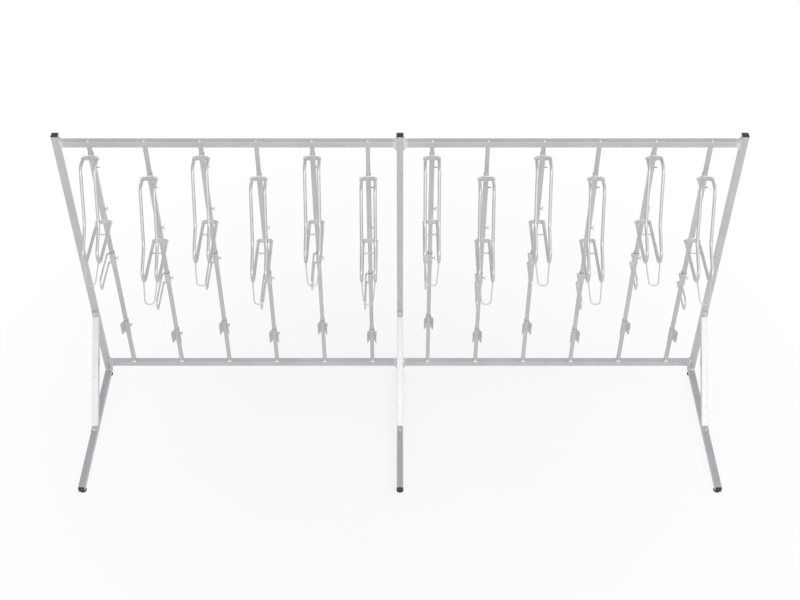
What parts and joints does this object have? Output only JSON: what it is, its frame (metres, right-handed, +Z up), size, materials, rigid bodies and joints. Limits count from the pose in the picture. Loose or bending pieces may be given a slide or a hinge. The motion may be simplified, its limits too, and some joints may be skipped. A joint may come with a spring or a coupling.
{
  "type": "two tier bike rack",
  "caption": "Free-standing steel cycle rack: upright bars between rails on braced feet, with sliding wheel holders set high and low in turn, lock loops and wheel guides.",
  "frame": {"origin": "on the floor, in the middle of the rack's length and of its depth", "axes": "+X along the rack to its right as seen from the front, +Y from its front to its back (the posts stand at the back), +Z up"},
  "size_m": [4.1502, 1.087, 2.0756],
  "materials": {
    "galvanised_steel": "hot-dip galvanised, satin grey with a faint spangle",
    "bright_zinc_steel": "bright galvanised",
    "bright_tube": "galvanised round tube and rod, smooth and slightly glossy",
    "black_plastic": "moulded black end caps",
    "black_rubber": "black levelling pads"
  },
  "bodies": {
    "frame": {"foot_left": "galvanised_steel", "post_left": "galvanised_steel", "post_cap_left": "black_plastic", "strut_left": "bright_zinc_steel", "foot_centre": "galvanised_steel", "post_centre": "galvanised_steel", "post_cap_centre": "black_plastic", "strut_centre": "bright_zinc_steel", "foot_right": "galvanised_steel", "post_right": "galvanised_steel", "post_cap_right": "black_plastic", "strut_right": "bright_zinc_steel", "upper_rail_left": "galvanised_steel", "upright_comb_left": "galvanised_steel", "upper_rail_right": "galvanised_steel", "upright_comb_right": "galvanised_steel"},
    "pad_left_front": {"levelling_foot_left_front": "black_rubber"},
    "pad_left_rear": {"levelling_foot_left_rear": "black_rubber"},
    "pad_centre_front": {"levelling_foot_centre_front": "black_rubber"},
    "pad_centre_rear": {"levelling_foot_centre_rear": "black_rubber"},
    "pad_right_front": {"levelling_foot_right_front": "black_rubber"},
    "pad_right_rear": {"levelling_foot_right_rear": "black_rubber"},
    "holder_01": {"wheel_holder_01": "bright_tube"},
    "holder_02": {"wheel_holder_02": "bright_tube"},
    "holder_03": {"wheel_holder_03": "bright_tube"},
    "holder_04": {"wheel_holder_04": "bright_tube"},
    "holder_05": {"wheel_holder_05": "bright_tube"},
    "holder_06": {"wheel_holder_06": "bright_tube"},
    "holder_07": {"wheel_holder_07": "bright_tube"},
    "holder_08": {"wheel_holder_08": "bright_tube"},
    "holder_09": {"wheel_holder_09": "bright_tube"},
    "holder_10": {"wheel_holder_10": "bright_tube"},
    "holder_11": {"wheel_holder_11": "bright_tube"},
    "holder_12": {"wheel_holder_12": "bright_tube"},
    "lock_01": {"lock_loop_01": "bright_tube"},
    "lock_02": {"lock_loop_02": "bright_tube"},
    "lock_03": {"lock_loop_03": "bright_tube"},
    "lock_04": {"lock_loop_04": "bright_tube"},
    "lock_05": {"lock_loop_05": "bright_tube"},
    "lock_06": {"lock_loop_06": "bright_tube"},
    "lock_07": {"lock_loop_07": "bright_tube"},
    "lock_08": {"lock_loop_08": "bright_tube"},
    "lock_09": {"lock_loop_09": "bright_tube"},
    "lock_10": {"lock_loop_10": "bright_tube"},
    "lock_11": {"lock_loop_11": "bright_tube"},
    "lock_12": {"lock_loop_12": "bright_tube"},
    "guide_01": {"wheel_guide_01": "galvanised_steel"},
    "guide_02": {"wheel_guide_02": "galvanised_steel"},
    "guide_03": {"wheel_guide_03": "galvanised_steel"},
    "guide_04": {"wheel_guide_04": "galvanised_steel"},
    "guide_05": {"wheel_guide_05": "galvanised_steel"},
    "guide_06": {"wheel_guide_06": "galvanised_steel"},
    "guide_07": {"wheel_guide_07": "galvanised_steel"},
    "guide_08": {"wheel_guide_08": "galvanised_steel"},
    "guide_09": {"wheel_guide_09": "galvanised_steel"},
    "guide_10": {"wheel_guide_10": "galvanised_steel"},
    "guide_11": {"wheel_guide_11": "galvanised_steel"},
    "guide_12": {"wheel_guide_12": "galvanised_steel"}
  },
  "joints": [
    {"name": "levelling_left_front", "type": "slide", "parent": "frame", "child": "pad_left_front", "axis": [0, 0, 1], "range_m": [-0.012, 0.005]},
    {"name": "levelling_left_rear", "type": "slide", "parent": "frame", "child": "pad_left_rear", "axis": [0, 0, 1], "range_m": [-0.012, 0.005]},
    {"name": "levelling_centre_front", "type": "slide", "parent": "frame", "child": "pad_centre_front", "axis": [0, 0, 1], "range_m": [-0.012, 0.005]},
    {"name": "levelling_centre_rear", "type": "slide", "parent": "frame", "child": "pad_centre_rear", "axis": [0, 0, 1], "range_m": [-0.012, 0.005]},
    {"name": "levelling_right_front", "type": "slide", "parent": "frame", "child": "pad_right_front", "axis": [0, 0, 1], "range_m": [-0.012, 0.005]},
    {"name": "levelling_right_rear", "type": "slide", "parent": "frame", "child": "pad_right_rear", "axis": [0, 0, 1], "range_m": [-0.012, 0.005]},
    {"name": "holder_height_01", "type": "slide", "parent": "frame", "child": "holder_01", "axis": [0, 0, 1], "range_m": [-0.1, 0.055]},
    {"name": "holder_height_02", "type": "slide", "parent": "frame", "child": "holder_02", "axis": [0, 0, 1], "range_m": [-0.1, 0.2]},
    {"name": "holder_height_03", "type": "slide", "parent": "frame", "child": "holder_03", "axis": [0, 0, 1], "range_m": [-0.1, 0.055]},
    {"name": "holder_height_04", "type": "slide", "parent": "frame", "child": "holder_04", "axis": [0, 0, 1], "range_m": [-0.1, 0.2]},
    {"name": "holder_height_05", "type": "slide", "parent": "frame", "child": "holder_05", "axis": [0, 0, 1], "range_m": [-0.1, 0.055]},
    {"name": "holder_height_06", "type": "slide", "parent": "frame", "child": "holder_06", "axis": [0, 0, 1], "range_m": [-0.1, 0.2]},
    {"name": "holder_height_07", "type": "slide", "parent": "frame", "child": "holder_07", "axis": [0, 0, 1], "range_m": [-0.1, 0.055]},
    {"name": "holder_height_08", "type": "slide", "parent": "frame", "child": "holder_08", "axis": [0, 0, 1], "range_m": [-0.1, 0.2]},
    {"name": "holder_height_09", "type": "slide", "parent": "frame", "child": "holder_09", "axis": [0, 0, 1], "range_m": [-0.1, 0.055]},
    {"name": "holder_height_10", "type": "slide", "parent": "frame", "child": "holder_10", "axis": [0, 0, 1], "range_m": [-0.1, 0.2]},
    {"name": "holder_height_11", "type": "slide", "parent": "frame", "child": "holder_11", "axis": [0, 0, 1], "range_m": [-0.1, 0.055]},
    {"name": "holder_height_12", "type": "slide", "parent": "frame", "child": "holder_12", "axis": [0, 0, 1], "range_m": [-0.1, 0.2]},
    {"name": "lock_height_01", "type": "slide", "parent": "frame", "child": "lock_01", "axis": [0, 0, 1], "range_m": [-0.12, 0.12]},
    {"name": "lock_height_02", "type": "slide", "parent": "frame", "child": "lock_02", "axis": [0, 0, 1], "range_m": [-0.12, 0.12]},
    {"name": "lock_height_03", "type": "slide", "parent": "frame", "child": "lock_03", "axis": [0, 0, 1], "range_m": [-0.12, 0.12]},
    {"name": "lock_height_04", "type": "slide", "parent": "frame", "child": "lock_04", "axis": [0, 0, 1], "range_m": [-0.12, 0.12]},
    {"name": "lock_height_05", "type": "slide", "parent": "frame", "child": "lock_05", "axis": [0, 0, 1], "range_m": [-0.12, 0.12]},
    {"name": "lock_height_06", "type": "slide", "parent": "frame", "child": "lock_06", "axis": [0, 0, 1], "range_m": [-0.12, 0.12]},
    {"name": "lock_height_07", "type": "slide", "parent": "frame", "child": "lock_07", "axis": [0, 0, 1], "range_m": [-0.12, 0.12]},
    {"name": "lock_height_08", "type": "slide", "parent": "frame", "child": "lock_08", "axis": [0, 0, 1], "range_m": [-0.12, 0.12]},
    {"name": "lock_height_09", "type": "slide", "parent": "frame", "child": "lock_09", "axis": [0, 0, 1], "range_m": [-0.12, 0.12]},
    {"name": "lock_height_10", "type": "slide", "parent": "frame", "child": "lock_10", "axis": [0, 0, 1], "range_m": [-0.12, 0.12]},
    {"name": "lock_height_11", "type": "slide", "parent": "frame", "child": "lock_11", "axis": [0, 0, 1], "range_m": [-0.12, 0.12]},
    {"name": "lock_height_12", "type": "slide", "parent": "frame", "child": "lock_12", "axis": [0, 0, 1], "range_m": [-0.12, 0.12]},
    {"name": "guide_height_01", "type": "slide", "parent": "frame", "child": "guide_01", "axis": [0, 0, 1], "range_m": [-0.2, 0.25]},
    {"name": "guide_height_02", "type": "slide", "parent": "frame", "child": "guide_02", "axis": [0, 0, 1], "range_m": [-0.18, 0.25]},
    {"name": "guide_height_03", "type": "slide", "parent": "frame", "child": "guide_03", "axis": [0, 0, 1], "range_m": [-0.2, 0.25]},
    {"name": "guide_height_04", "type": "slide", "parent": "frame", "child": "guide_04", "axis": [0, 0, 1], "range_m": [-0.18, 0.25]},
    {"name": "guide_height_05", "type": "slide", "parent": "frame", "child": "guide_05", "axis": [0, 0, 1], "range_m": [-0.2, 0.25]},
    {"name": "guide_height_06", "type": "slide", "parent": "frame", "child": "guide_06", "axis": [0, 0, 1], "range_m": [-0.18, 0.25]},
    {"name": "guide_height_07", "type": "slide", "parent": "frame", "child": "guide_07", "axis": [0, 0, 1], "range_m": [-0.2, 0.25]},
    {"name": "guide_height_08", "type": "slide", "parent": "frame", "child": "guide_08", "axis": [0, 0, 1], "range_m": [-0.18, 0.25]},
    {"name": "guide_height_09", "type": "slide", "parent": "frame", "child": "guide_09", "axis": [0, 0, 1], "range_m": [-0.2, 0.25]},
    {"name": "guide_height_10", "type": "slide", "parent": "frame", "child": "guide_10", "axis": [0, 0, 1], "range_m": [-0.18, 0.25]},
    {"name": "guide_height_11", "type": "slide", "parent": "frame", "child": "guide_11", "axis": [0, 0, 1], "range_m": [-0.2, 0.25]},
    {"name": "guide_height_12", "type": "slide", "parent": "frame", "child": "guide_12", "axis": [0, 0, 1], "range_m": [-0.18, 0.25]}
  ]
}
